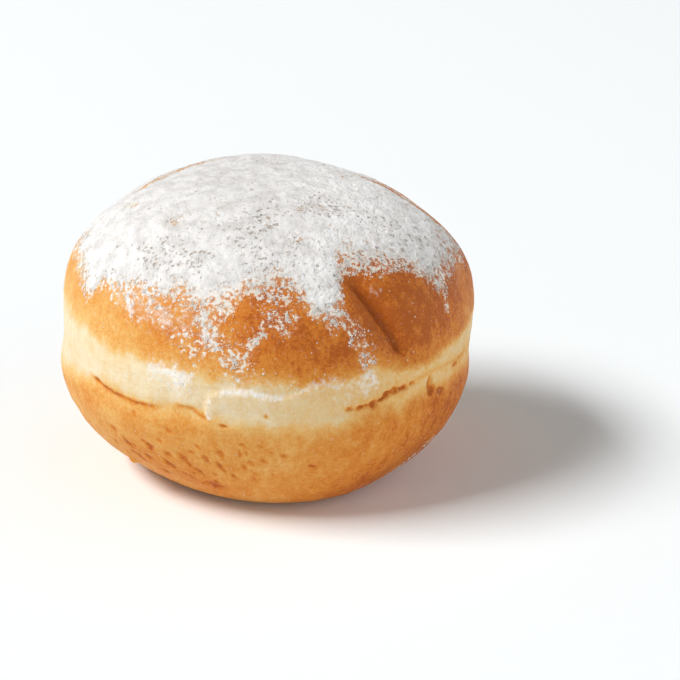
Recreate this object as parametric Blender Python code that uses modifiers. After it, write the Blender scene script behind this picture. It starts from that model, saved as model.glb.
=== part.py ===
"""A jelly filled doughnut: one solid of fried dough that stands on its flat foot.

Metres, +Z up. The origin is the middle of the foot, and the front faces -Y.
Azimuths are degrees round the doughnut: 0 is the front and 90 is +X.
"""

import math

import bmesh
import bpy
from mathutils import Vector, noise

MM = 0.001

# The whole doughnut.
DIAMETER = 86 * MM
HEIGHT = 61 * MM
WAIST = 25 * MM  # height of the widest ring, where the two fried halves meet

# The turned outline is a superellipse over the waist and another under it.
DOME_EXPONENT = 2.6  # 2 is an ellipse, and more is squarer
BELLY_EXPONENT = 1.92
BELLY_REACH = 32 * MM  # where the belly's curve would close, had the foot not cut it at the floor

# Spacing of the mesh.
SEGMENTS = 96
BAND_BOTTOM = 20 * MM  # the rows lie closer together over the pale band
BAND_TOP = 36 * MM
BAND_ROWS_APART = 1.4 * MM
ROWS_APART = 2.3 * MM
FOOT_RINGS = 4
FOOT_ROUNDING = 2.5 * MM  # the belly rounds into the foot from this height
ROUNDING_ROWS = 4
FOOT_BLEND = 9 * MM  # under this height the dough spreads sideways only, so the foot stays flat
OUTLINE_STEPS = 2000

# The seam, where the upper half laps over the lower one, dips to one side.
SEAM_HEIGHT = 26.2 * MM
SEAM_TILT = 1.6 * MM
SEAM_WANDER = 0.9 * MM
WAIST_DENT = 0.7 * MM
WAIST_DENT_REACH = 3.2 * MM
SEAM_STEP = 0.35 * MM  # how far the pale band stands out over the belly just below the seam
SEAM_STEP_REACH = 2.0 * MM

# Broad bulges (+) and flats (-) of hand-shaped dough: azimuth, height, reach, push.
SWELLINGS = (
    (128, 57 * MM, 13 * MM, -0.9 * MM),
    (104, 51 * MM, 11 * MM, -1.1 * MM),
    (94, 41 * MM, 10 * MM, 1.3 * MM),
    (88, 26 * MM, 7 * MM, -0.4 * MM),
    (-87, 30 * MM, 8 * MM, -0.7 * MM),
    (-97, 45 * MM, 9 * MM, 0.8 * MM),
    (-47, 1.5 * MM, 12 * MM, -1.4 * MM),
    (14, 2 * MM, 17 * MM, 3.4 * MM),
    (66, 10 * MM, 11 * MM, 0.8 * MM),
    (-82, 21 * MM, 8 * MM, 0.5 * MM),
    (-108, 50 * MM, 9 * MM, -0.5 * MM),
    (-170, 58 * MM, 12 * MM, 0.6 * MM),
    (0, 38 * MM, 12 * MM, 0.4 * MM),
    (175, 30 * MM, 14 * MM, -0.6 * MM),
    (150, 14 * MM, 12 * MM, 0.8 * MM),
    (-135, 42 * MM, 13 * MM, -0.5 * MM),
)

# Creases in the dome run down it: azimuth and height at the top, the same at the bottom, depth, width.
CREASES = (
    (25, 55 * MM, 40.5, 30 * MM, 1.5 * MM, 2.8 * MM),
    (-120, 54 * MM, -106, 35 * MM, 0.9 * MM, 3.0 * MM),
    (156, 56 * MM, 172, 34 * MM, 1.2 * MM, 3.2 * MM),
)
CREASE_RIDGE = 0.3  # height of the fold beside a crease, as a share of its depth
CREASE_FADE = 0.4  # share of the length over which each end fades in

# Flaps of stretched skin over the band: azimuths of the two ends, heights of the two edges, lift.
FLAPS = (
    (-17, 17, 22.5 * MM, 30.5 * MM, 0.5 * MM),
    (-56, -19, 26.5 * MM, 32.5 * MM, 0.4 * MM),
    (96, 128, 23 * MM, 30 * MM, 0.4 * MM),
    (-165, -112, 25 * MM, 32 * MM, 0.45 * MM),
)
FLAP_EDGE = 1.5 * MM

# Unevenness of the whole surface.
LUMPS = ((26 * MM, 0.45 * MM), (11 * MM, 0.16 * MM))  # size and height


def smooth_step(low, high, value):
    """0 below low, 1 above high, and a smooth ramp between."""
    share = min(max((value - low) / (high - low), 0), 1)
    return share * share * (3 - 2 * share)


def bump(distance, reach):
    """1 at no distance, fading out over the reach."""
    return math.exp(-((distance / reach) ** 2))


def curve_point(angle):
    """(radius, height) of the turned outline, angle 0 at the top and pi under the doughnut."""
    if angle <= math.pi / 2:
        exponent, reach = DOME_EXPONENT, HEIGHT - WAIST
    else:
        exponent, reach = BELLY_EXPONENT, -BELLY_REACH
    radius = DIAMETER / 2 * math.sin(angle) ** (2 / exponent)
    return radius, WAIST + reach * abs(math.cos(angle)) ** (2 / exponent)


def radius_at(height):
    """Radius of the turned outline at a height."""
    if height >= WAIST:
        exponent, share = DOME_EXPONENT, (height - WAIST) / (HEIGHT - WAIST)
    else:
        exponent, share = BELLY_EXPONENT, (WAIST - height) / BELLY_REACH
    return DIAMETER / 2 * max(1 - share**exponent, 0) ** (1 / exponent)


def rows_apart(height):
    return BAND_ROWS_APART if BAND_BOTTOM < height < BAND_TOP else ROWS_APART


def outline():
    """(radius, height) from the top's centre, down the side and in to the foot's centre."""
    rows = [(0.0, HEIGHT)]
    passed = 0.0
    last = rows[0]
    for step in range(1, OUTLINE_STEPS):
        point = curve_point(math.pi * step / OUTLINE_STEPS)
        if point[1] <= FOOT_ROUNDING:
            break
        passed += math.dist(point, last) / rows_apart(point[1])
        last = point
        if passed >= 1:
            rows.append(point)
            passed = 0.0
    if rows[-1][1] < FOOT_ROUNDING + ROWS_APART / 2:
        rows.pop()
    belly, corner = radius_at(FOOT_ROUNDING), radius_at(0)
    foot = corner - math.dist((belly, FOOT_ROUNDING), (corner, 0))
    for row in range(ROUNDING_ROWS):
        share = row / ROUNDING_ROWS
        radius = belly * (1 - share) ** 2 + corner * 2 * share * (1 - share) + foot * share**2
        rows.append((radius, FOOT_ROUNDING * (1 - share) ** 2))
    rows += [(foot * (1 - ring / FOOT_RINGS), 0.0) for ring in range(FOOT_RINGS + 1)]
    return rows


def on_outline(azimuth, height):
    """The point of the turned form at an azimuth and height."""
    turn = math.radians(azimuth)
    radius = radius_at(height)
    return Vector((radius * math.sin(turn), -radius * math.cos(turn), height))


def azimuth_of(point):
    return math.degrees(math.atan2(point.x, -point.y))


def degrees_between(azimuth, other):
    """From other to azimuth, the short way round, positive to the right as seen from outside."""
    return (azimuth - other + 180) % 360 - 180


def seam_height(azimuth):
    """Height of the line where the band meets the belly."""
    turn = math.radians(azimuth)
    wander = noise.noise(Vector((math.sin(turn) * 2, math.cos(turn) * 2, 0.3)))
    return SEAM_HEIGHT - SEAM_TILT * math.sin(turn) + SEAM_WANDER * wander


def swelling(point):
    """All the bulges and flats together."""
    return sum(
        push * bump((point - on_outline(azimuth, height)).length, reach)
        for azimuth, height, reach, push in SWELLINGS
    )


def waist(azimuth, height):
    """The dent round the waist, and the step where the band stands out over the belly."""
    above_seam = height - seam_height(azimuth)
    dent = -WAIST_DENT * bump(above_seam, WAIST_DENT_REACH)
    step = SEAM_STEP * smooth_step(-BAND_ROWS_APART, BAND_ROWS_APART, above_seam)
    return dent + step * bump(above_seam, SEAM_STEP_REACH)


def crease(azimuth, height, radius, form):
    """One crease, with the fold that stands up along its left side."""
    top_azimuth, top, bottom_azimuth, bottom, depth, width = form
    share = (top - height) / (top - bottom)
    middle = top_azimuth + share * (bottom_azimuth - top_azimuth)
    aside = math.radians(degrees_between(azimuth, middle)) * radius
    ends = smooth_step(0, CREASE_FADE, share) * smooth_step(0, CREASE_FADE, 1 - share)
    fold = CREASE_RIDGE * bump(aside + 2 * width, 1.2 * width)
    return depth * ends * (fold - bump(aside, width))


def flap(azimuth, height, radius, form):
    """One flap of skin, a low shelf with a soft edge all round."""
    start, end, low, high, lift = form
    past_start = math.radians(degrees_between(azimuth, start)) * radius
    past_end = math.radians(degrees_between(azimuth, end)) * radius
    along = smooth_step(-FLAP_EDGE, FLAP_EDGE, past_start) * smooth_step(FLAP_EDGE, -FLAP_EDGE, past_end)
    across = smooth_step(low - 2 * FLAP_EDGE, low + FLAP_EDGE, height)
    across *= smooth_step(high + FLAP_EDGE / 2, high - FLAP_EDGE / 2, height)
    return lift * along * across


def lumps(point):
    """The unevenness, outwards (+) or inwards (-)."""
    return sum(rise * noise.noise(point / size) for size, rise in LUMPS)


def shaped(point):
    """Where a point of the turned form lies on the doughnut."""
    azimuth, height = azimuth_of(point), point.z
    radius = math.hypot(point.x, point.y)
    push = swelling(point) + lumps(point) + waist(azimuth, height)
    push += sum(crease(azimuth, height, radius, form) for form in CREASES)
    push += sum(flap(azimuth, height, radius, form) for form in FLAPS)
    outward = (point - Vector((0, 0, WAIST))).normalized()
    outward.z *= smooth_step(0, FOOT_BLEND, height)
    return point + outward * push


def turned_form():
    """The outline turned into a closed form."""
    rows = outline()
    mesh = bpy.data.meshes.new("doughnut")
    mesh.from_pydata(
        [(radius, 0, height) for radius, height in rows],
        [(row, row + 1) for row in range(len(rows) - 1)],
        [],
    )
    form = bpy.data.objects.new("doughnut", mesh)
    turn = form.modifiers.new("turn", "SCREW")
    turn.steps = SEGMENTS
    turn.render_steps = SEGMENTS
    turn.use_merge_vertices = True
    turn.merge_threshold = MM / 100
    return form


def fried_dough():
    """Golden brown crust."""
    material = bpy.data.materials.new("fried_dough")
    material.use_nodes = True
    surface = material.node_tree.nodes["Principled BSDF"]
    surface.inputs["Base Color"].default_value = (0.62, 0.27, 0.07, 1)
    surface.inputs["Roughness"].default_value = 0.5
    surface.inputs["Metallic"].default_value = 0.0
    return material


def centre_on_foot(mesh):
    """Puts the middle of the form's box over the origin."""
    for axis in (0, 1):
        places = [vertex.co[axis] for vertex in mesh.vertices]
        middle = (min(places) + max(places)) / 2
        for vertex in mesh.vertices:
            vertex.co[axis] -= middle


def doughnut(collection):
    """The whole doughnut, as one closed solid."""
    form = turned_form()
    collection.objects.link(form)
    bpy.context.view_layer.update()
    evaluated = form.evaluated_get(bpy.context.evaluated_depsgraph_get())
    turned = bpy.data.meshes.new_from_object(evaluated)
    form.modifiers.clear()
    form.data = turned

    solid = bmesh.new()
    solid.from_mesh(turned)
    bmesh.ops.recalc_face_normals(solid, faces=solid.faces)
    for vertex in solid.verts:
        vertex.co = shaped(vertex.co)
    solid.to_mesh(turned)
    solid.free()

    centre_on_foot(turned)
    turned.shade_smooth()
    turned.materials.append(fried_dough())
    return form


def main():
    for old in list(bpy.data.objects):
        bpy.data.objects.remove(old)
    collection = bpy.data.collections.new("jelly_filled_doughnut")
    bpy.context.scene.collection.children.link(collection)
    doughnut(collection)


main()
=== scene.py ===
"""The looks of a jelly filled doughnut: browned skin, a pale waist and powdered sugar.

Metres, +Z up, and the front faces -Y. A place on the skin is an azimuth in degrees round the
doughnut, 0 at the front and 90 at +X, and a height in millimetres over the floor.
"""

import itertools
import math

import bpy
import numpy as np
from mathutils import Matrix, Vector
from mathutils.bvhtree import BVHTree


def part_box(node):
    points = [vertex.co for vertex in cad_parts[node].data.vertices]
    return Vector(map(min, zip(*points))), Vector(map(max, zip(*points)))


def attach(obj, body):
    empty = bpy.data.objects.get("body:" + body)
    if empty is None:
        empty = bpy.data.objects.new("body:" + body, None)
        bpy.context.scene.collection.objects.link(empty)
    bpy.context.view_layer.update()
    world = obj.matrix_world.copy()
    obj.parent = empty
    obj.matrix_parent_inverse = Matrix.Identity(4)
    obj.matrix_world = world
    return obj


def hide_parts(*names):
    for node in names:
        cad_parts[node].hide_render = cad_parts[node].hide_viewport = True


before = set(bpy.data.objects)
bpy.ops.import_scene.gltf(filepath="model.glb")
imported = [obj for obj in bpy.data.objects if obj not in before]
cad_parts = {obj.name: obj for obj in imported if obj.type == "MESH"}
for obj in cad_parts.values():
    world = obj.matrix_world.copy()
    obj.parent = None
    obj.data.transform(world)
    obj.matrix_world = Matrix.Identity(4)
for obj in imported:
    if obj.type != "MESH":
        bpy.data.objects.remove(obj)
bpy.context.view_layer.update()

MM = 0.001
LOW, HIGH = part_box("doughnut")
MIDDLE = (LOW + HIGH) / 2

# Meshes.
WELD = MM / 50
SMOOTH_LEVELS = 2  # how often the copy of the solid is subdivided
SKIN_LEVELS = 7  # how often the cube that becomes the skin is subdivided
WAIST_CROWDING = 0.12  # draws the skin's rows together at the waist
FRONT_CROWDING = 0.14  # and its columns together at the front
COAT_CUTS = 300  # rows and columns of the sugar coat
COAT_REACH = 60 * MM  # along the skin, from the top's centre to the coat's rim

# Heights in mm round the doughnut, as (azimuth, height).
CRUST_EDGE = (  # where the dome's browned crust ends over the pale band
    (-150, 33), (-110, 35), (-77, 36), (-57, 34.9), (-40, 34), (-22, 32.8), (0, 31), (10, 30.7),
    (20, 31), (30, 31.8), (38, 30.6), (48, 29.4), (57, 30.8), (78, 32.6), (120, 32), (165, 34.5),
)
BELLY_EDGE = (  # where the belly's browned crust begins under it
    (-160, 24), (-120, 22.5), (-81, 23.5), (-56, 27), (-43, 26.2), (-23, 25.8), (-10, 24.4),
    (0, 23.9), (20, 24.2), (35, 24), (50, 25.2), (70, 25.4), (105, 22.5), (150, 25),
)
SUGAR_EDGE = (  # where the sugar's thick cover ends
    (-175, 44), (-150, 41), (-120, 45.4), (-95, 45.4), (-80, 45), (-70, 43.4), (-63, 40.6), (-59, 44),
    (-50, 46), (-38, 46.4), (-27, 46.8), (-19, 45.4), (-12, 45.6), (-7, 48.8), (4, 49.8), (8, 49.2), (11, 47.4),
    (14, 43.8), (18, 41.6), (21, 43.8), (24, 48.6), (26, 51.2), (35, 51.6), (42, 50.7), (49, 49), (55, 47.2),
    (59, 44.4), (64, 43.2), (70, 44.4), (78, 44), (86, 42.5), (92, 44), (98, 49), (105, 53), (112, 55.4),
    (120, 54.5),
    (132, 48), (145, 41.5),
)

# How brown the crust is round the doughnut, as (azimuth, share).
DOME_TONE = ((-130, 0.62), (-90, 0.5), (-50, 0.55), (-20, 0.71), (5, 0.83), (35, 0.91), (80, 0.9), (180, 0.8))
BAND_TONE = ((-90, 0.05), (-12, 0.05), (15, 0.2), (35, 0.29), (60, 0.27), (85, 0.18), (120, 0.08), (180, 0.06))
BELLY_TONE = ((-100, 0.6), (-40, 0.58), (0, 0.54), (20, 0.69), (35, 0.82), (75, 0.94), (110, 0.76), (180, 0.62))

# The crease that runs down the dome on the right of the front.
CREASE = ((26, 50.4), (29.2, 47.5), (31.6, 44.9), (34, 42), (36.3, 39), (38, 36.2), (39.2, 33.4))

# Cracks where the band overhangs the belly: places along each, from left to right, and how brown it is.
CRACKS = (
    (((-59, 27.1), (-55, 26.9), (-52, 26.7), (-49, 26), (-45, 25.5), (-39, 25.1), (-34, 25), (-28, 25.6)), 1),
    (((-26, 26.4), (-21, 26.2), (-18, 25), (-16.3, 23.6)), 0.8),
    (((40, 28), (46, 28.5), (51, 28.6), (59, 28.3), (65, 28), (73, 27.5)), 0.35),
    (((100, 24.5), (108, 23.8), (117, 24.4), (124, 25.6)), 1),
    (((-158, 26.2), (-148, 25.2), (-137, 25.4), (-128, 26.4)), 1),
)

# Edges of stretched skin that stand up from the band. The raised side is on the right of the run.
FLAP_EDGES = (
    (
        (-16.3, 23), (-16.6, 25.5), (-16.6, 27.6), (-15.8, 29.2), (-12.4, 30.3), (-9, 30.7), (-5, 30.4), (-1, 29.8),
        (3, 28.8), (6, 29.3), (10, 30.4), (14, 31.6), (17, 32.2),
    ),
    ((94, 27), (99, 29.6), (110, 30), (122, 29), (128, 29.8)),
    ((-166, 28), (-160, 30.4), (-148, 30.8), (-136, 30), (-120, 31)),
)

# Rows of small tears in the band, where the crumb shows brown.
TORN_LINES = (
    ((20, 25.4), (25, 25.5), (29, 25.5), (31, 26.1), (33, 27.1), (36, 27.4), (39, 27.2), (42.5, 27.7)),
    ((60, 27.5), (68, 28.2), (77, 27.6), (84, 28)),
    ((138, 26.5), (147, 27.6), (156, 27.2)),
    ((-104, 27), (-96, 26), (-88, 26.6)),
)

# Torn spots as (azimuth, height, half length, half width, turn in degrees, depth), in mm.
TEARS = (
    (22, 25.4, 0.9, 0.6, 5, 0.3), (25.4, 25.3, 1.1, 0.6, 10, 0.35), (29, 25.5, 1.4, 1.0, 20, 0.5),
    (31.4, 26.2, 0.6, 0.5, 0, 0.25), (33.4, 26.9, 1.2, 0.8, 25, 0.45), (36.2, 27.3, 1.0, 0.9, 10, 0.45),
    (39.2, 27.3, 1.3, 0.8, 5, 0.45), (42.2, 27.6, 0.9, 0.7, 10, 0.35),
    (50, 26, 0.9, 1.8, -4, 0.7), (51.2, 24.4, 1.5, 1.3, -8, 0.6), (55.4, 23.2, 1.4, 0.8, -10, 0.3),
    (-52.5, 26.7, 1.1, 0.8, -25, 0.4), (-12, 23.2, 1.2, 0.45, -12, 0.25), (-0.5, 25.4, 0.8, 0.5, -50, 0.3),
)
PORES = (
    (-45, 14.5, 1.8, 0.8, -55, 0.55), (-49, 17, 1.0, 0.6, -70, 0.3), (-43, 11.2, 1.8, 0.7, -55, 0.5),
    (-38.5, 11.8, 1.6, 0.7, -50, 0.45), (-36, 15.4, 1.5, 1.0, -55, 0.6), (-36, 8.4, 1.5, 0.6, -35, 0.4),
    (-31.5, 11.6, 2.4, 0.7, -52, 0.5), (-30, 14.4, 1.1, 0.8, -45, 0.5), (-28, 20.4, 0.9, 0.8, 0, 0.4),
    (-26, 9.2, 1.1, 0.7, -40, 0.45), (-25, 13.8, 2.7, 0.9, -60, 0.65), (-21, 10.8, 1.7, 0.6, -55, 0.45),
    (-20, 17.6, 0.8, 0.6, -60, 0.3), (-18, 14.6, 1.4, 0.8, -55, 0.5), (-18.2, 7.3, 2.2, 1.6, -15, 0.8),
    (-14, 13, 1.7, 0.7, -60, 0.5), (-13.5, 16.6, 1.2, 0.8, -50, 0.45), (-10.5, 10.8, 1.2, 0.5, -60, 0.35),
    (-8, 17, 1.2, 0.6, -80, 0.4), (-7, 13.4, 1.2, 0.6, -60, 0.4), (-39, 22.7, 0.9, 0.7, -20, 0.3),
    (-1, 15, 1.0, 0.5, -50, 0.3), (4, 16.5, 0.8, 0.6, -30, 0.25), (-7, 19, 0.7, 0.5, -40, 0.25),
    (12, 13.6, 0.8, 0.5, -30, 0.25), (-31.5, 17.6, 0.9, 0.6, -60, 0.35), (-52, 13, 1.1, 0.6, -60, 0.35),
)
ROUGH_PATCH = (-27, 12.6, 10)  # azimuth, height and reach in mm of the crumbly crust round the pores
HIDDEN_SIDES = (62, 296)  # azimuths
HIDDEN_PORES = 46  # more of the same on the sides away from the front
HIDDEN_TEARS = 12
SMALL_PORES = 20  # and small ones between those at the front

# Crumbs of crust that stick out: azimuth, height, half width and how far out, in mm.
NUBS = ((-51, 8.3, 1.0, 0.9), (-49, 11, 0.8, 0.4), (-12, 9, 0.7, 0.3), (118, 9, 1.1, 0.6), (-148, 7, 1.2, 0.6))

# Streaks of sugar: places along each, half width in mm, and how much of it.
DRIFTS = (
    (((-21, 46), (-17, 42), (-15, 37.4)), 2.2, 0.56),
    (((-13, 35.6), (-9, 38.3)), 1.2, 0.54),
    (((-8, 34.6), (-6, 37), (-4, 40), (0, 42.3)), 0.9, 0.56),
    (((19.5, 44.4), (23.5, 42.4), (25.6, 39.5), (27.2, 36), (28.4, 32.6)), 2.0, 0.34),
    (((61, 45.5), (61.5, 41.7), (60, 38)), 1.1, 0.42),
    (((26, 1.8), (36, 2.6), (46, 4.6), (56, 8.6), (64, 13)), 1.3, 0.28),
    (((102, 42), (106, 36), (104, 33)), 1.8, 0.5),
    (((-138, 42), (-133, 36), (-136, 33)), 1.8, 0.5),
    (((168, 40), (174, 35)), 2.2, 0.5),
)
# Soft dustings of the finest powder, the same way.
MISTS = (
    (((-36, 32.4), (-31, 33), (-26, 33.2), (-23, 31.6), (-20, 30.2)), 2.0, 0.85),
    (((-30, 31), (-24, 29.6), (-18, 30)), 1.8, 0.4),
    (((-50, 31), (-38, 29.5), (-26, 28.5)), 2.6, 0.25),
    (((-15.9, 23.4), (-16, 26.5), (-15.4, 29.2)), 0.6, 0.9),
    (((-15.4, 28.6), (-14, 29.8), (-10, 30.5), (-4, 30.2), (2, 29.2), (7, 29.8)), 0.9, 0.8),
    (((6, 29.8), (11, 31), (15, 31.8)), 0.7, 0.6),
    (((-15, 26.6), (-8, 27.4), (-1, 27.4), (5, 28.2)), 2.6, 0.28),
    (((-12, 33), (-4, 32), (6, 31.6)), 1.5, 0.3),
    (((10, 31.4), (16, 31.4), (22, 30.8)), 1.3, 0.55),
    (((21, 31), (26, 30), (30, 29)), 2.2, 0.5),
    (((26.6, 35.4), (27, 33.4), (28.6, 31.6), (30.4, 29), (30, 27)), 1.2, 0.6),
    (((16, 28.6), (23, 28), (30, 28.6)), 2.0, 0.25),
    (((-38, 45.6), (-34, 44.3), (-30, 42.2), (-28, 41)), 1.3, 0.52),
    (((-45, 44.8), (-42.5, 42.9), (-41, 41)), 1.0, 0.7),
    (((-56, 45), (-40, 44.6), (-28, 43), (-18, 40)), 4.0, 0.42),
    (((33, 47), (37.5, 46.4)), 1.0, 0.6),
    (((64, 44), (76, 44), (88, 44)), 3.0, 0.3),
    (((100, 31), (112, 30.6), (126, 30)), 2.2, 0.5),
    (((-170, 31), (-156, 31.4), (-140, 31)), 2.2, 0.5),
)
# Places with less sugar than round them, the same way.
BARE_STREAKS = (
    (((-156, 59.9), (-141, 59.2), (-128, 58.6), (-115, 58), (-104, 57.2), (-96, 56.2)), 1.7, 0.72),
    (((-86, 55), (-77, 56.9)), 1.5, 0.33),
    (((16, 59.2), (21, 59.4), (31, 59.5), (40, 58.6)), 0.7, 0.36),
    (((10, 55.6), (18, 56.2), (24, 55.2)), 0.5, 0.28),
    (((-51, 56.9), (-40, 57.1), (-27, 57.8)), 1.5, 0.17),
    (((92, 44), (94, 47), (95, 50.8), (98, 53.8), (105, 56), (112, 57.2), (124, 58)), 1.2, 0.6),
    (((120, 55), (130, 53), (136, 50)), 1.0, 0.5),
)
# Wide patches of thin speckles (+) or of thinner cover (-): azimuth, height, reach in mm, how much.
SPRINKLED = (
    (3, 46, 5, 0.22), (7, 42.6, 4.5, 0.14), (20, 38, 4, 0.06), (-6, 41, 5, 0.12), (-14, 41, 5, 0.14),
    (-9, 34.6, 4, 0.24),
    (-50, 44.5, 4, 0.1), (-42, 44, 4, 0.12), (-32, 43.4, 4, 0.14), (-25, 41, 4, 0.18), (-21, 37.6, 4, 0.14),
    (-20, 33, 3, 0.16), (6, 31.6, 3, 0.2),
    (37, 50, 5, 0.14), (25, 43, 3, 0.1), (58, 43, 4, 0.12), (-40, 42, 7, 0.1),
    (-2, 33, 4, 0.12), (25, 31, 4, 0.12),
    (125, 42, 9, 0.25), (-160, 40, 9, 0.25),
    (-10, 55.6, 4, -0.08), (3, 58.8, 4, -0.08), (33, 59.2, 5, -0.08), (13, 55.6, 3, -0.1),
    (54, 57, 3, -0.08), (62, 54.5, 3, -0.08), (17, 43, 4, -0.1),
    (66, 49, 8, -0.08), (84, 46, 9, -0.24), (104, 51, 8, -0.16), (-160, 54, 12, -0.12),
)
# Patches of pinholes in the thick sugar: azimuth, height, reach in mm, how many.
PINHOLED = (
    (-45, 52.5, 4, 0.8), (-38, 52.8, 4, 0.8), (-30, 53, 4, 0.7), (-24, 54, 3, 0.6), (-8, 57, 5, 0.8),
    (3, 58.8, 4, 0.8), (-12, 60.5, 4, 0.5), (30, 59.2, 4, 0.9), (41, 59, 4, 0.6), (13, 55.6, 3, 0.8),
    (54, 57, 4, 0.8), (62, 54.5, 4, 0.8), (52, 51.5, 4, 0.7), (66, 49, 5, 0.6), (0, 52, 5, 0.5),
    (-5, 54, 4, 0.5), (18, 48, 4, 0.5), (24, 46, 4, 0.4),
)


# ---------------------------------------------------------------- numbers over many points


def ramp(low, high, values):
    """0 at low, 1 at high, and a smooth climb between."""
    share = np.clip((values - low) / (high - low), 0, 1)
    return share * share * (3 - 2 * share)


def hump(distances, reach):
    return np.exp(-((distances / reach) ** 2))


rng = np.random.default_rng(11)
TABLE = 4096
SLOPES = rng.normal(size=(TABLE, 3))
SLOPES /= np.linalg.norm(SLOPES, axis=1, keepdims=True)
SPOTS = rng.random((TABLE, 3))
STRIDES = np.array((73856093, 19349663, 83492791))


def shuffled(cells):
    """An entry of the tables for each cell of a grid."""
    return np.bitwise_xor.reduce(cells * STRIDES, axis=1) % TABLE


def noise(points, size, seed=0):
    """Smooth random values from about -1 to 1 that change over the size."""
    grid = points / size + seed * 7.31
    low = np.floor(grid).astype(np.int64)
    part = grid - low
    fade = part**3 * (part * (part * 6 - 15) + 10)
    total = np.zeros(len(points))
    for corner in itertools.product((0, 1), repeat=3):
        weight = np.where(corner, fade, 1 - fade).prod(axis=1)
        total += weight * ((part - corner) * SLOPES[shuffled(low + corner)]).sum(axis=1)
    return 1.6 * total


def crumbs(points, size, seed=0):
    """Rounded random lumps, 1 in the middle of each and 0 between them."""
    grid = points / size + seed * 5.17
    low = np.floor(grid).astype(np.int64)
    nearest = np.full(len(points), 9.0)
    for corner in itertools.product((-1, 0, 1), repeat=3):
        cell = low + corner
        nearest = np.minimum(nearest, np.linalg.norm(grid - cell - SPOTS[shuffled(cell)], axis=1))
    return 1 - np.clip(nearest, 0, 1)


def azimuths(points):
    return np.degrees(np.arctan2(points[:, 0], -points[:, 1]))


def heights(points):
    return points[:, 2] / MM


def round_line(points, line):
    """The value of a line given as (azimuth, value), at each point."""
    return np.interp(azimuths(points), [place[0] for place in line], [place[1] for place in line], period=360)


# ---------------------------------------------------------------- meshes


def select_only(piece):
    bpy.ops.object.select_all(action="DESELECT")
    piece.select_set(True)
    bpy.context.view_layer.objects.active = piece


def finish_with(piece, kind, **settings):
    """Adds a modifier to a piece and applies it."""
    select_only(piece)
    modifier = piece.modifiers.new(kind.lower(), kind)
    for name, value in settings.items():
        setattr(modifier, name, value)
    bpy.ops.object.modifier_apply(modifier=modifier.name)


def subdivide(piece, levels):
    finish_with(piece, "SUBSURF", levels=levels, render_levels=levels)


def in_edit_mode(piece, *steps):
    """Selects the whole mesh and runs each step on it."""
    select_only(piece)
    bpy.ops.object.mode_set(mode="EDIT")
    bpy.ops.mesh.select_all(action="SELECT")
    for step in steps:
        step()
    bpy.ops.object.mode_set(mode="OBJECT")


def points_of(piece):
    points = np.empty(len(piece.data.vertices) * 3)
    piece.data.vertices.foreach_get("co", points)
    return points.reshape(-1, 3)


def normals_of(piece):
    normals = np.empty(len(piece.data.vertices) * 3)
    piece.data.vertex_normals.foreach_get("vector", normals)
    return normals.reshape(-1, 3)


def move_points(piece, points):
    piece.data.vertices.foreach_set("co", points.ravel())
    piece.data.update()


def paint(piece, name, values):
    """Keeps a number for each point, which the materials read by its name."""
    attribute = piece.data.attributes.new(name, "FLOAT", "POINT")
    attribute.data.foreach_set("value", values.astype(np.float32))


def dress(piece, material):
    """Gives a finished piece its material and its place on the doughnut."""
    piece.data.materials.clear()
    piece.data.materials.append(material)
    piece.data.shade_smooth()
    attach(piece, "root")


def smooth_solid():
    """A welded and smoothed copy of the solid, to lay the skin on."""
    solid = bpy.data.objects.new("smooth_solid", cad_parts["doughnut"].data.copy())
    bpy.context.scene.collection.objects.link(solid)
    in_edit_mode(solid, lambda: bpy.ops.mesh.remove_doubles(threshold=WELD))
    subdivide(solid, SMOOTH_LEVELS)
    return solid


def crowded(points):
    """Draws the points of a ball towards its waist and its front, where the fine detail is."""
    from_middle = points - MIDDLE
    turn = np.arctan2(from_middle[:, 0], -from_middle[:, 1])
    turn -= FRONT_CROWDING * np.sin(turn)
    flat = np.hypot(from_middle[:, 0], from_middle[:, 1])
    size = np.hypot(flat, from_middle[:, 2])
    tilt = np.arctan2(flat, from_middle[:, 2])
    tilt += WAIST_CROWDING * np.sin(2 * tilt)
    flat = size * np.sin(tilt)
    moved = np.stack((flat * np.sin(turn), -flat * np.cos(turn), size * np.cos(tilt)), axis=1)
    return moved + MIDDLE


def plain_skin(solid):
    """An even net of faces over the whole solid."""
    bpy.ops.mesh.primitive_cube_add(size=2.4, location=MIDDLE, scale=(HIGH - LOW) / 2)
    skin = bpy.context.object
    skin.name = skin.data.name = "doughnut_skin"
    select_only(skin)
    bpy.ops.object.transform_apply(location=True, rotation=True, scale=True)
    subdivide(skin, SKIN_LEVELS)
    move_points(skin, crowded(points_of(skin)))
    finish_with(skin, "SHRINKWRAP", target=solid, wrap_method="NEAREST_SURFACEPOINT")
    return skin


class Surface:
    """The smooth solid's surface, for finding the spot at a place."""

    def __init__(self, solid):
        self.tree = BVHTree.FromObject(solid, bpy.context.evaluated_depsgraph_get())

    def spot(self, azimuth, height):
        turn = math.radians(azimuth)
        outward = Vector((math.sin(turn), -math.cos(turn), 0))
        return np.array(self.tree.ray_cast(Vector((0, 0, height * MM)), outward)[0])

    def spots(self, places):
        return [self.spot(*place) for place in places]


def from_line(points, normals, line):
    """Each point's distance from a line of spots, minus on its right side, and its share along it, in mm."""
    lengths = [np.linalg.norm(end - start) for start, end in itertools.pairwise(line)]
    nearest = np.full(len(points), 1e9)
    side = np.ones(len(points))
    share = np.zeros(len(points))
    passed = 0.0
    for start, end, length in zip(line, line[1:], lengths):
        run = (end - start) / length
        along = np.clip((points - start) @ run, 0, length)
        gap = points - start - along[:, None] * run
        distance = np.linalg.norm(gap, axis=1)
        closer = distance < nearest
        nearest = np.where(closer, distance, nearest)
        side = np.where(closer, np.sign((np.cross(run, gap) * normals).sum(axis=1)), side)
        share = np.where(closer, (passed + along) / sum(lengths), share)
        passed += length
    return nearest * side / MM, share


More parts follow.
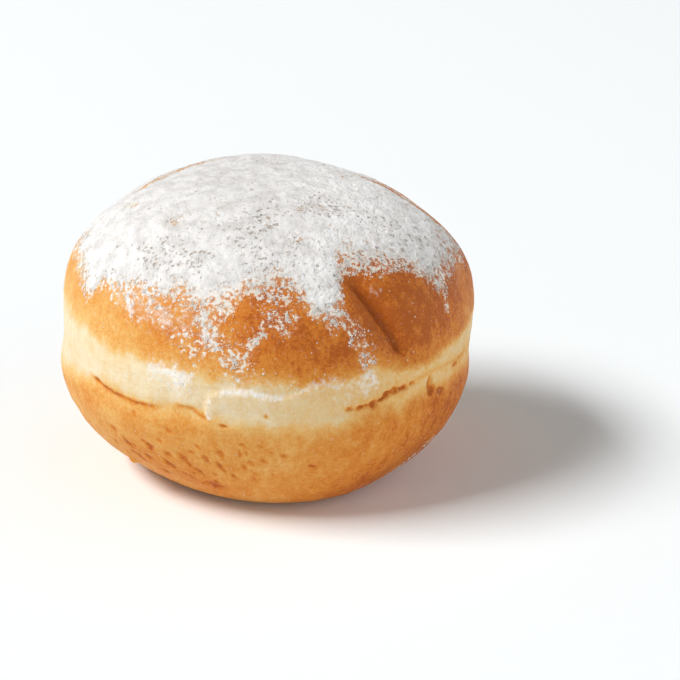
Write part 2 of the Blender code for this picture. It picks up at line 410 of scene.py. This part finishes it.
def tapered(share, end=0.15):
    """Fades a line out towards both ends."""
    return ramp(0, end, share) * ramp(0, end, 1 - share)


# ---------------------------------------------------------------- the skin's form and tones


def torn_spots(points, surface, spots):
    """How deep each point lies in the torn spots, in mm, and how far it is inside one, from 0 to 1."""
    depth = np.zeros(len(points))
    inside = np.zeros(len(points))
    ragged = 0.4 * noise(points, 1.2 * MM, 3)
    for azimuth, height, length, width, turn, deep in spots:
        centre = surface.spot(azimuth, height)
        near = np.linalg.norm(points - centre, axis=1) < 3 * MM * max(length, width)
        if not near.any():
            continue
        away = (points[near] - centre) / MM
        right = np.array((math.cos(math.radians(azimuth)), math.sin(math.radians(azimuth)), 0))
        across = away @ right
        up = np.sign(away[:, 2]) * np.sqrt(np.maximum((away**2).sum(axis=1) - across**2, 0))
        lean = math.radians(turn)
        along = across * math.cos(lean) + up * math.sin(lean)
        aside = up * math.cos(lean) - across * math.sin(lean)
        reach = np.hypot(along / length, aside / width) + ragged[near]
        hollow = ramp(1.25, 0.35, reach)
        rim = 0.08 * hump(reach - 1.5, 0.35)
        depth[near] = np.maximum(depth[near], deep * hollow) - deep * rim * (depth[near] < 0.1)
        inside[near] = np.maximum(inside[near], hollow)
    return depth, inside


def scattered_spots(count, sides, low, high, length, turn):
    """Torn spots between two azimuths and two heights."""
    for _ in range(count):
        size = rng.uniform(0.5, 1) * length
        yield (
            rng.uniform(*sides), rng.uniform(low, high), size, size * rng.uniform(0.35, 0.8),
            turn + rng.uniform(-25, 25), 0.4 * size,
        )


def sculpt_skin(skin, surface):
    """Gives the skin its creases, cracks, flaps, torn spots and unevenness, and paints where it is brown, with
    painted shade along the crease and under the rows of tears.
    """
    points, normals = points_of(skin), normals_of(skin)
    height, azimuth = heights(points), azimuths(points)
    push = np.zeros(len(points))  # outwards, in mm
    # Scorch marks and toasted crust, with the painted shade of the crease and of the strips under the rows of tears
    # added in.
    scorched = np.zeros(len(points))
    toast_and_shade = np.zeros(len(points))

    wobble = noise(points, 7 * MM, 1)
    band_top = round_line(points, CRUST_EDGE) + 0.9 * noise(points, 3.5 * MM, 2) + 0.6 * noise(points, 1.2 * MM, 4)
    band_bottom = round_line(points, BELLY_EDGE) + 1.3 * wobble + 0.7 * noise(points, 2 * MM, 5)
    on_band = ramp(band_top + 1, band_top - 1, height) * ramp(band_bottom - 1.5, band_bottom + 1.5, height)
    on_dome = ramp(band_top - 1.6, band_top + 2.6, height)
    on_belly = ramp(band_bottom + 3.4, band_bottom - 4.2, height)

    # Unevenness: soft dimples all over, wrinkles along the band and blisters on the fried crust.
    push += 0.10 * noise(points, 5 * MM, 6) + 0.04 * noise(points, 1.8 * MM, 7)
    wrinkles = noise(points * (1, 1, 4), 3.2 * MM, 8) + 0.5 * noise(points * (1, 1, 3), 1.5 * MM, 9)
    push += on_band * 0.06 * wrinkles
    push += on_belly * (0.07 * crumbs(points, 2.2 * MM, 1) - 0.06 * crumbs(points, 1.3 * MM, 2) ** 2)
    push += 0.12 * ramp(-1, 1, height - band_top)  # the browned crust stands a little proud of the band

    side, share = from_line(points, normals, surface.spots(CREASE))
    side = (side + 0.3 * noise(points, 3 * MM, 18)) / (0.7 + 0.5 * share)
    fade = ramp(0, 0.25, share) * ramp(0, 0.15, 1 - share)
    step = -np.tanh(side / 0.7) * np.exp(-np.abs(side) / 5)  # the left of it stands over the right
    push += fade * (0.3 * step - 1.1 * hump(side - 0.2, 1.2) - 0.4 * hump(side, 0.5))
    # Painted shade: the crease's line is painted scorched and browner, in place of the shade in the fold.
    scorched += fade * (0.5 * hump(side, 0.9) + 0.3 * hump(side + 0.5, 1.6))
    toast_and_shade += 0.2 * fade * hump(side, 2.2)

    for places, brownness in CRACKS:
        side, share = from_line(points, normals, surface.spots(places))
        side = side + 0.25 * noise(points, 1.3 * MM, 10)
        fade = tapered(share, 0.2)
        push += fade * 0.32 * ramp(-0.3, 0.7, side) * hump(side, 3.4)
        fade *= brownness
        scorched += fade * 0.15 * hump(side + 0.1, 0.4) * (0.75 + 0.5 * noise(points, 2 * MM, 14))
        toast_and_shade += fade * 0.6 * hump(side, 0.6)

    for places in TORN_LINES:
        side, share = from_line(points, normals, surface.spots(places))
        side = side + 0.4 * noise(points, 2 * MM, 15)
        torn = tapered(share) * ramp(-0.1, -0.5, np.abs(side) - 1.4 * noise(points, 1.1 * MM, 16))
        push += 0.12 * tapered(share) * hump(side - 0.9, 0.8) - 0.22 * torn
        scorched += 0.3 * torn
        toast_and_shade += 0.4 * torn
        # Painted shade: a browner strip just under each row of tears, below its raised edge.
        toast_and_shade += tapered(share) * 0.2 * hump(side + 0.6, 1.8)

    for places in FLAP_EDGES:
        side, share = from_line(points, normals, surface.spots(places))
        side = side + 0.5 * noise(points, 2.4 * MM, 11) + 0.5 * noise(points, 1.1 * MM, 19)
        fade = tapered(share, 0.1)
        push += fade * 0.28 * ramp(0.3, -0.5, side) * hump(np.minimum(side, 0), 4.5)
        push -= fade * 0.1 * hump(side - 0.6, 0.7)

    far_tears = scattered_spots(HIDDEN_TEARS, HIDDEN_SIDES, 24, 28, 1.1, 5)
    depth, inside = torn_spots(points, surface, (*TEARS, *far_tears))
    push -= depth
    scorched += 0.28 * inside
    toast_and_shade += 0.55 * inside
    far_pores = scattered_spots(HIDDEN_PORES, HIDDEN_SIDES, 5, 20, 1.4, -40)
    small_pores = scattered_spots(SMALL_PORES, (-52, 8), 7, 19, 0.8, -50)
    depth, porous = torn_spots(points, surface, (*PORES, *far_pores, *small_pores))
    push -= 0.55 * depth
    scorched += 0.05 * porous
    toast_and_shade += 0.3 * porous
    azimuth_there, height_there, reach = ROUGH_PATCH
    away = np.linalg.norm(points - surface.spot(azimuth_there, height_there), axis=1) / MM
    push += hump(away, reach) * (0.14 * noise(points, 1.5 * MM, 41) + 0.1 * noise(points, 0.9 * MM, 42))
    toast_and_shade += 0.13 * hump(away, reach)
    for azimuth_there, height_there, reach, out in NUBS:
        away = np.linalg.norm(points - surface.spot(azimuth_there, height_there), axis=1) / MM
        push += out * hump(away + 0.3 * noise(points, 0.9 * MM, 17), reach)

    push *= ramp(0, 2.5, height)  # the foot stays flat on the floor
    moved = points + normals * push[:, None] * MM
    moved[:, 2] = np.maximum(moved[:, 2], LOW.z)
    move_points(skin, moved)

    mottle = 0.07 * noise(points, 9 * MM, 12) + 0.04 * noise(points, 2.5 * MM, 13)
    dome_tone = round_line(points, DOME_TONE) + 0.22 * ramp(0, 8, height - band_top) - 0.16
    belly_tone = round_line(points, BELLY_TONE) + 0.12 * ramp(14, 4, height)
    pale = round_line(points, BAND_TONE)
    brown = np.maximum(on_dome * dome_tone, on_belly * belly_tone)
    # The brown tone also carries the painted shade of the crease and of the strips under the rows of tears.
    brown = np.maximum(brown, pale) + mottle * (0.35 + np.maximum(on_dome, on_belly)) + toast_and_shade
    paint(skin, "browned", np.clip(brown, 0, 1))
    paint(skin, "scorched", np.clip(scorched, 0, 1))
    paint(skin, "sugared", sugar_cover(moved, normals, surface))
    paint(skin, "misted", mist(moved, normals, surface) * (1 - np.clip(scorched, 0, 1)))
    # Paints the sugar whiter towards the right of the dome: painted light on the side the window leaves in shade.
    paint(skin, "thick", rightward_ramp(moved))
    paint(skin, "pinholed", pinholed(moved, surface))
    return moved


# ---------------------------------------------------------------- where the sugar lies


def sugar_cover(points, normals, surface):
    """How much sugar lies at each point, from 0 for bare crust to 1 for a thick cover."""
    height = heights(points)
    edge = round_line(points, SUGAR_EDGE) + 0.9 * noise(points, 4 * MM, 20) + 0.8 * noise(points, 1.7 * MM, 21)
    cover = 0.62 * ramp(-3.2, 3, height - edge) + 0.38 * ramp(0, 7, height - edge)
    cover -= 0.18 * ramp(0.0, 0.7, noise(points, 6 * MM, 22)) * ramp(0, 4, height - edge)
    for azimuth, place_height, reach, strength in SPRINKLED:
        away = np.linalg.norm(points - surface.spot(azimuth, place_height), axis=1) / MM
        cover += strength * hump(away, reach)
    ragged = 0.8 * noise(points, 2 * MM, 23)
    for places, width, strength in DRIFTS:
        side, share = from_line(points, normals, surface.spots(places))
        streak = strength * hump(np.maximum(np.abs(side) / width + ragged, 0), 1.1) * tapered(share, 0.12)
        cover = np.maximum(cover, streak) + 0.2 * np.minimum(cover, streak)
    for places, width, strength in BARE_STREAKS:
        side, share = from_line(points, normals, surface.spots(places))
        cover -= strength * hump(np.maximum(np.abs(side) / width + ragged, 0), 1.1) * tapered(share, 0.2)
    return np.clip(cover, 0, 1)


def pinholed(points, surface):
    """How many pinholes the sugar has at each point, from 0 to 1."""
    share = 0.5 * ramp(0.1, 0.7, noise(points, 7 * MM, 35))
    for azimuth, height, reach, strength in PINHOLED:
        away = np.linalg.norm(points - surface.spot(azimuth, height), axis=1) / MM
        share += strength * hump(away, reach)
    return np.clip(share, 0, 1)


def rightward_ramp(points):
    """0 on the left of the dome rising to 1 on its right, where the sugar is painted whiter: painted light on the
    side the window leaves in shade. Its lumps also grow there.
    """
    return ramp(0, 18, points[:, 0] / MM)


def mist(points, normals, surface):
    """How much fine powder lies at each point, from 0 to 1."""
    misted = np.zeros(len(points))
    ragged = 0.35 * noise(points, 1.6 * MM, 24) + 0.25 * noise(points, 4 * MM, 25)
    for places, width, strength in MISTS:
        side, share = from_line(points, normals, surface.spots(places))
        cloud = strength * hump(np.maximum(np.abs(side) / width + ragged, 0), 1.0) * tapered(share, 0.2)
        misted = np.maximum(misted, cloud) + 0.4 * np.minimum(misted, cloud)
    return np.clip(misted, 0, 1)


def sugar_coat(skin_tree, surface):
    """The thick sugar as a crumbly sheet over the dome, which dips under the skin where there is none."""
    bpy.ops.mesh.primitive_grid_add(x_subdivisions=COAT_CUTS, y_subdivisions=COAT_CUTS, size=2)
    coat = bpy.context.object
    coat.name = coat.data.name = "sugar_coat"
    square = points_of(coat)
    across = square[:, 0] * np.sqrt(1 - square[:, 1] ** 2 / 2)
    back = square[:, 1] * np.sqrt(1 - square[:, 0] ** 2 / 2)
    tilt = np.hypot(across, back) * COAT_REACH / (HIGH.x * 0.92)
    turn = np.arctan2(across, back)
    ways = np.stack((np.sin(tilt) * np.sin(turn), np.sin(tilt) * np.cos(turn), np.cos(tilt)), axis=1)
    points = np.empty_like(square)
    normals = np.empty_like(square)
    core = Vector((0, 0, 22 * MM))
    for index, way in enumerate(ways):
        point, normal, _, _ = skin_tree.ray_cast(core, Vector(way))
        points[index], normals[index] = point, normal

    cover = sugar_cover(points, normals, surface)
    lumps = 0.26 * crumbs(points, 1.5 * MM, 30) + 0.18 * crumbs(points, 0.9 * MM, 31)
    lumps += 0.2 * noise(points, 2.6 * MM, 37)
    lumps *= 0.5 + 0.5 * ramp(58, 50, heights(points))
    lumps *= 0.7 + 0.5 * rightward_ramp(points)
    broken = cover + 0.22 * noise(points, 1.5 * MM, 32) + 0.22 * noise(points, 0.7 * MM, 33)
    pitted = pinholed(points, surface) + ramp(0.95, 0.8, cover)
    broken -= 0.3 * pitted * ramp(0.5, 0.85, crumbs(points, 1.5 * MM, 36))
    lift = 0.2 * np.tanh(2.4 * (broken - 0.68))
    lift += ramp(0, 0.2, lift) * (lumps - 0.1 + 0.12 * noise(points, 4 * MM, 34))
    move_points(coat, points + normals * lift[:, None] * MM)
    paint(coat, "sugared", cover)
    paint(coat, "misted", mist(points, normals, surface))
    # Paints the sugar whiter towards the right of the dome: painted light on the side the window leaves in shade.
    paint(coat, "thick", rightward_ramp(points))
    paint(coat, "pinholed", pinholed(points, surface))
    paint(coat, "browned", np.clip(round_line(points, DOME_TONE) + 0.06, 0, 1))
    drop_hidden_faces(coat, lift < -0.08)
    return coat


def drop_hidden_faces(piece, hidden):
    """Deletes the hidden points and the faces on them."""
    select_only(piece)
    bpy.ops.object.mode_set(mode="EDIT")
    bpy.ops.mesh.select_mode(type="VERT")
    bpy.ops.mesh.select_all(action="DESELECT")
    bpy.ops.object.mode_set(mode="OBJECT")
    piece.data.vertices.foreach_set("select", hidden)
    bpy.ops.object.mode_set(mode="EDIT")
    bpy.ops.mesh.delete(type="VERT")
    bpy.ops.object.mode_set(mode="OBJECT")


# ---------------------------------------------------------------- loose sugar


def one_grain(detail):
    """The points and faces of a small ball."""
    bpy.ops.mesh.primitive_ico_sphere_add(subdivisions=detail, radius=1)
    ball = bpy.context.object
    points = points_of(ball)
    faces = np.array([face.vertices[:] for face in ball.data.polygons])
    bpy.data.objects.remove(ball)
    return points, faces


def strewn(name, skin, skin_points, weights, count, sizes, detail, flat):
    """Many grains joined in one piece, lying on the skin where the weights put them."""
    skin.data.calc_loop_triangles()
    corners = np.empty(len(skin.data.loop_triangles) * 3, dtype=np.int32)
    skin.data.loop_triangles.foreach_get("vertices", corners)
    corners = corners.reshape(-1, 3)
    a, b, c = (skin_points[corners[:, k]] for k in range(3))
    across = np.cross(b - a, c - a)
    areas = np.linalg.norm(across, axis=1)
    chances = areas * weights[corners].mean(axis=1)
    picked = rng.choice(len(corners), size=count, p=chances / chances.sum())
    mix = rng.dirichlet((1, 1, 1), size=count)
    spots = mix[:, :1] * a[picked] + mix[:, 1:2] * b[picked] + mix[:, 2:] * c[picked]
    ups = across[picked] / areas[picked][:, None]

    ball, faces = one_grain(detail)
    size = rng.uniform(0, 1, count) ** 2.2 * (sizes[1] - sizes[0]) + sizes[0]
    shape = ball[None] * (1 + rng.uniform(-0.38, 0.38, (count, len(ball), 1)))
    shape = shape * rng.uniform(0.7, 1.25, (count, 1, 3))
    sideways = np.cross(ups, rng.normal(size=(count, 3)))
    sideways /= np.linalg.norm(sideways, axis=1, keepdims=True)
    forward = np.cross(ups, sideways)
    turned = (
        shape[..., :1] * sideways[:, None] + shape[..., 1:2] * forward[:, None]
        + shape[..., 2:] * flat * ups[:, None]
    )
    grains = spots[:, None] + (turned + 0.35 * flat * ups[:, None]) * (size[:, None, None] / 2 * MM)
    mesh = bpy.data.meshes.new(name)
    joined = (faces[None] + np.arange(count)[:, None, None] * len(ball)).reshape(-1, 3)
    mesh.from_pydata(grains.reshape(-1, 3), [], joined)
    piece = bpy.data.objects.new(name, mesh)
    bpy.context.scene.collection.objects.link(piece)
    return piece


# ---------------------------------------------------------------- materials


class Number:
    """A node's number. Sums on it add Math nodes."""

    def __init__(self, recipe, socket):
        self.recipe = recipe
        self.socket = socket

    def math(self, operation, *values):
        node = self.recipe.add("ShaderNodeMath", {"operation": operation}, dict(enumerate(values)))
        return Number(self.recipe, node.outputs[0])

    def __add__(self, other):
        return self.math("ADD", self, other)

    def __radd__(self, other):
        return self.math("ADD", other, self)

    def __sub__(self, other):
        return self.math("SUBTRACT", self, other)

    def __rsub__(self, other):
        return self.math("SUBTRACT", other, self)

    def __mul__(self, other):
        return self.math("MULTIPLY", self, other)

    def __rmul__(self, other):
        return self.math("MULTIPLY", other, self)

    def between(self, low, high):
        """0 at low, 1 at high, and a smooth climb between."""
        node = self.recipe.add(
            "ShaderNodeMapRange",
            {"interpolation_type": "SMOOTHSTEP"},
            {"Value": self, "From Min": low, "From Max": high},
        )
        return Number(self.recipe, node.outputs[0])


class Recipe:
    """The nodes of a material or of the world."""

    def __init__(self, holder):
        holder.use_nodes = True
        self.holder = holder
        self.tree = holder.node_tree
        self.tree.nodes.clear()

    def add(self, kind, settings, inputs):
        """Adds a node with its settings, then fills its sockets with values or links."""
        node = self.tree.nodes.new(kind)
        for name, value in settings.items():
            if name == "stops":
                self.set_stops(node.color_ramp, value)
            else:
                setattr(node, name, value)
        for socket, value in inputs.items():
            if isinstance(value, Number):
                value = value.socket
            if isinstance(value, bpy.types.NodeSocket):
                self.tree.links.new(value, node.inputs[socket])
            else:
                node.inputs[socket].default_value = value
        return node

    def set_stops(self, colours, stops):
        while len(colours.elements) < len(stops):
            colours.elements.new(0.5)
        for element, (place, colour) in zip(colours.elements, stops):
            element.position = place
            element.color = (*colour, 1)

    def painted(self, name):
        node = self.add("ShaderNodeAttribute", {"attribute_name": name}, {})
        return Number(self, node.outputs["Fac"])

    def mottle(self, size, detail=2.0, stretch=(1, 1, 1)):
        """Soft random numbers about 0.5, that change over the size."""
        place = self.add("ShaderNodeTexCoord", {}, {}).outputs["Object"]
        if stretch != (1, 1, 1):
            scale = tuple(1 / share for share in stretch)
            place = self.add("ShaderNodeMapping", {}, {"Vector": place, "Scale": scale}).outputs[0]
        node = self.add("ShaderNodeTexNoise", {}, {"Vector": place, "Scale": 1 / size, "Detail": detail})
        return Number(self, node.outputs[0])

    def colours(self, number, stops):
        return self.add("ShaderNodeValToRGB", {"stops": stops}, {0: number}).outputs[0]

    def mix(self, share, first, second, blend="MIX"):
        """A colour between two, or the second laid over the first in another way of blending."""
        node = self.add(
            "ShaderNodeMix",
            {"data_type": "RGBA", "blend_type": blend, "clamp_factor": True},
            {0: share},
        )
        for socket, colour in ((node.inputs[6], first), (node.inputs[7], second)):
            if isinstance(colour, bpy.types.NodeSocket):
                self.tree.links.new(colour, socket)
            else:
                socket.default_value = (*colour, 1)
        return node.outputs[2]

    def bump(self, height, distance, strength=1.0):
        return self.add(
            "ShaderNodeBump", {}, {"Height": height, "Distance": distance, "Strength": strength}
        ).outputs[0]

    def finish(self, shader, output="ShaderNodeOutputMaterial"):
        self.add(output, {}, {"Surface": shader})
        return self.holder


# The sugar's white and grey: the grey gives its soft clouds, and mixing by whiteness paints light and shade across
# the dome.
SUGAR_WHITE = (0.95, 0.935, 0.92)
SUGAR_SHADE = (0.69, 0.67, 0.65)
# The pinholes' colour is painted dark: painted shade in the small holes of the sugar.
PINHOLE_SHADE = (0.44, 0.35, 0.28)
THIN_SUGAR_AND_BOUNCE = (0.83, 0.75, 0.64)  # where it is thin; its warmth is partly the dough below, partly a painted warm bounce light off the dough
DULLED_AND_SHADED_GAP = (0.50, 0.35, 0.22)  # crust in the gaps of thick sugar, darker and greyer: painted shade in the gaps, and crust dulled by sugar
DOUGH_TONES = (  # from the pale waist to the darkest crust
    (0.0, (0.79, 0.66, 0.445)),
    (0.15, (0.76, 0.57, 0.31)),
    (0.35, (0.765, 0.46, 0.155)),
    (0.55, (0.72, 0.345, 0.080)),
    (0.75, (0.66, 0.24, 0.032)),
    (0.9, (0.58, 0.165, 0.018)),
    (1.0, (0.44, 0.105, 0.010)),
)
# Dark red-brown of scorch marks, also used for the painted shade along the crease.
SCORCH_AND_SHADE = (0.36, 0.085, 0.012)


def sugar_shader(recipe, full, whiteness):
    """Matte white powder with soft grey clouds and fine grit. Whiteness paints it whiter, which on the dome is
    painted light on its shaded right and leaves it greyer on its lit left; it is warmer where it is thin, partly
    from a painted warm bounce off the dough.
    """
    clouds = recipe.mottle(3.0 * MM, 6.0).between(0.34, 0.62)
    lumps = recipe.mottle(1.2 * MM, 4.0)
    grit = recipe.mottle(0.35 * MM, 2.0)
    # Painted light and shade: whiteness mixes the sugar whiter on the dome's shaded right, and leaves it greyer on
    # its lit left.
    thick = recipe.mix(0.55 * clouds + 0.45 * whiteness, SUGAR_SHADE, SUGAR_WHITE)
    # Pinholes, painted darker as painted shade in them, and sunk in the bump.
    holes = (recipe.mottle(0.8 * MM, 2.0) + 0.11 * recipe.painted("pinholed")).between(0.65, 0.8)
    thick = recipe.mix(0.8 * holes, thick, PINHOLE_SHADE)
    return recipe.add(
        "ShaderNodeBsdfPrincipled",
        {},
        {
            "Base Color": recipe.mix(full, THIN_SUGAR_AND_BOUNCE, thick),
            "Roughness": 0.9 + 0.1 * grit,
            "Specular IOR Level": 0.25,
            "Subsurface Weight": 0.35,
            "Subsurface Radius": (1.0, 0.9, 0.8),
            "Subsurface Scale": 0.5 * MM,
            "Normal": recipe.bump((lumps + 0.3 * grit - 0.5 * holes) * (0.7 + 0.5 * whiteness), 0.6 * MM),
        },
    ).outputs[0]


def loose_sugar():
    recipe = Recipe(bpy.data.materials.new("loose_sugar"))
    # The grains are tinted mostly with the warm thin-sugar colour: a painted warm bounce light off the dough.
    return recipe.finish(sugar_shader(recipe, 0.4, 0.9))


def crust_shader(recipe, dulled_and_shaded):
    """Browned crust and pale waist, by the painted tone, with scorch marks and the crease's painted shade, and
    painted darker and greyer in the gaps of thick sugar: painted shade there, and crust dulled by sugar.
    """
    mottles = recipe.mottle(3.2 * MM, 4.0)
    streaks = recipe.mottle(1.5 * MM, 3.0, stretch=(1, 1, 3.5))
    specks = recipe.mottle(0.8 * MM, 3.0)
    grain = recipe.mottle(0.4 * MM, 2.0)
    browned = recipe.painted("browned")
    fine = 0.3 * (specks - 0.5) + 0.25 * (grain - 0.5)
    tone = browned + 0.35 * (mottles - 0.5) + 0.25 * (streaks - 0.5) + fine * browned.between(-0.2, 0.5)
    # Where the scorch marks and the crease's painted shade lie.
    burnt_and_shaded = (recipe.painted("scorched") + 0.5 * (specks - 0.5)).between(0.15, 0.85)
    relief = 0.9 * specks + 0.3 * streaks + 0.35 * grain
    crust = recipe.mix(burnt_and_shaded, recipe.colours(tone, DOUGH_TONES), SCORCH_AND_SHADE)
    return recipe.add(
        "ShaderNodeBsdfPrincipled",
        {},
        {
            # Darker and greyer in the gaps of thick sugar: painted shade, and crust dulled by sugar.
            "Base Color": recipe.mix(dulled_and_shaded, crust, DULLED_AND_SHADED_GAP),
            "Roughness": 0.4 + 0.3 * specks,
            "Specular IOR Level": 0.16,
            "Subsurface Weight": 0.2,
            "Subsurface Radius": (1.0, 0.45, 0.15),
            "Subsurface Scale": 1.2 * MM,
            "Normal": recipe.bump(relief, 0.14 * MM),
        },
    ).outputs[0]


def dusted_crust(name):
    """Crust under sugar: a thin film, and flecks that close up where more is painted."""
    recipe = Recipe(bpy.data.materials.new(name))
    cover = recipe.painted("sugared")
    fine = recipe.mottle(0.85 * MM, 4.0)
    patchy = recipe.mottle(2.6 * MM, 2.0)
    scatter = (2.6 * (fine - 0.5) + 0.9 * (patchy - 0.5)) * cover.between(0.0, 0.3)
    flecks = (cover + scatter * (1 - 0.4 * cover.between(0.6, 1.0))).between(0.3, 0.7)
    misted = recipe.painted("misted")
    film = 0.08 * cover.between(0.1, 0.5) + 0.34 * cover.between(0.55, 0.95)
    film = film + 0.75 * (misted + 1.9 * (fine - 0.5)).between(0.15, 1.1)
    film = film.math("MINIMUM", film, 0.95)
    veil = film + (0.98 - film) * flecks
    crust = crust_shader(recipe, 0.9 * cover.between(0.45, 0.85))
    # Whiter where the thick attribute is high, which is painted light on the dome's shaded right, and where fine
    # powder lies.
    sugar = sugar_shader(recipe, cover.between(0.3, 0.85) + 1.5 * misted, recipe.painted("thick") + misted)
    return recipe.finish(recipe.add("ShaderNodeMixShader", {}, {0: veil, 1: crust, 2: sugar}).outputs[0])


def floor_material():
    recipe = Recipe(bpy.data.materials.new("white_table"))
    speckle = recipe.mottle(40 * MM)
    shader = recipe.add(
        "ShaderNodeBsdfPrincipled",
        {},
        {
            "Base Color": (0.94, 0.97, 0.98, 1),
            "Roughness": 0.7 + 0.1 * speckle,
            "Specular IOR Level": 0.1,
            "Emission Color": (0.85, 1, 1, 1),
            "Emission Strength": 0.02,
        },
    )
    return recipe.finish(shader.outputs[0])


# ---------------------------------------------------------------- the doughnut


def doughnut():
    solid = smooth_solid()
    surface = Surface(solid)
    skin = plain_skin(solid)
    skin_points = sculpt_skin(skin, surface)
    skin_tree = BVHTree.FromObject(skin, bpy.context.evaluated_depsgraph_get())
    coat = sugar_coat(skin_tree, surface)
    bpy.data.objects.remove(solid)

    cover = np.empty(len(skin_points))
    skin.data.attributes["sugared"].data.foreach_get("value", cover)
    bunched = ramp(-0.15, 0.5, noise(skin_points, 1.7 * MM, 40)) + 0.1
    rim = ramp(0.12, 0.4, cover) * ramp(0.95, 0.55, cover) * bunched
    heaped = 0.2 + ramp(-40, 10, azimuths(skin_points))
    strewing = 0.001 + 0.003 * ramp(24, 34, heights(skin_points)) + rim
    specks = strewn("sugar_specks", skin, skin_points, strewing, 9400, (0.12, 0.34), 1, 0.45)
    clumps = strewn("sugar_clumps", skin, skin_points, rim**1.5 * heaped, 1900, (0.2, 0.56), 2, 0.3)

    dress(skin, dusted_crust("fried_dough"))
    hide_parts("doughnut")
    dress(coat, dusted_crust("sifted_sugar"))
    loose = loose_sugar()
    for piece in (specks, clumps):
        dress(piece, loose)


# ---------------------------------------------------------------- the studio

CAMERA_TILT = math.radians(20.5)
CAMERA_DISTANCE = 600 * MM
LENS = 152.3
AIM = Vector((15.1 * MM, 0, 25.3 * MM))  # right of the doughnut, so that its shadow is in view
STAND = Vector((0, 0, 25 * MM))  # the camera keeps its distance from here
WINDOW_HEIGHT = math.radians(47)  # over the table, and its azimuth
WINDOW_AZIMUTH = math.radians(-78)
WINDOW_DISTANCE = 5
WINDOW_SIZE = (3.0, 1.3)
WINDOW_POWER = 262
WALL_GLOW = 0.7  # the low walls' glow towards the front and the back
WALL_LEAN = 1.05  # how much more of it there is on the right, and less on the left
FRONT_LEAN = 0.13  # and towards the front
LEAST_GLOW = 0.4  # even on the left
CEILING_GLOW = 0.05
WALL_TOP = math.radians(60)
FLOOR_SIZE = 12


def studio_walls():
    """A world of low walls, brightest on the right and towards the front, and dim behind the window."""
    recipe = Recipe(bpy.data.worlds.new("studio_walls"))
    way = recipe.add("ShaderNodeTexCoord", {}, {}).outputs["Generated"]
    parts = recipe.add("ShaderNodeSeparateXYZ", {}, {0: way}).outputs
    right, back, up = (Number(recipe, part) for part in parts)
    glow = WALL_GLOW + WALL_LEAN * right - FRONT_LEAN * back
    glow = glow.math("MAXIMUM", glow, LEAST_GLOW) * up.between(math.sin(WALL_TOP), math.sin(WALL_TOP / 3))
    walls = recipe.add("ShaderNodeBackground", {}, {"Strength": CEILING_GLOW + glow})
    return recipe.finish(walls.outputs[0], "ShaderNodeOutputWorld")


def studio():
    bpy.ops.mesh.primitive_plane_add(size=FLOOR_SIZE)
    floor = bpy.context.object
    floor.name = "floor"
    floor.data.materials.append(floor_material())

    bpy.context.scene.world = studio_walls()

    window = bpy.data.lights.new("window", "AREA")
    window.shape = "RECTANGLE"
    window.size, window.size_y = WINDOW_SIZE
    window.energy = WINDOW_POWER
    lamp = bpy.data.objects.new("window", window)
    flat = math.cos(WINDOW_HEIGHT)
    towards = Vector(
        (flat * math.sin(WINDOW_AZIMUTH), -flat * math.cos(WINDOW_AZIMUTH), math.sin(WINDOW_HEIGHT))
    )
    lamp.rotation_euler = towards.to_track_quat("Z", "Y").to_euler()
    lamp.location = towards * WINDOW_DISTANCE
    bpy.context.scene.collection.objects.link(lamp)

    camera_data = bpy.data.cameras.new("camera")
    camera_data.lens = LENS
    camera_data.sensor_width = 36
    camera_data.clip_start = 0.01
    camera = bpy.data.objects.new("camera", camera_data)
    camera.location = STAND + CAMERA_DISTANCE * Vector((0, -math.cos(CAMERA_TILT), math.sin(CAMERA_TILT)))
    camera.rotation_euler = (AIM - camera.location).to_track_quat("-Z", "Y").to_euler()
    bpy.context.scene.collection.objects.link(camera)
    bpy.context.scene.camera = camera
    bpy.context.scene.view_settings.view_transform = "Standard"


bpy.ops.object.select_all(action="DESELECT")
doughnut()
studio()
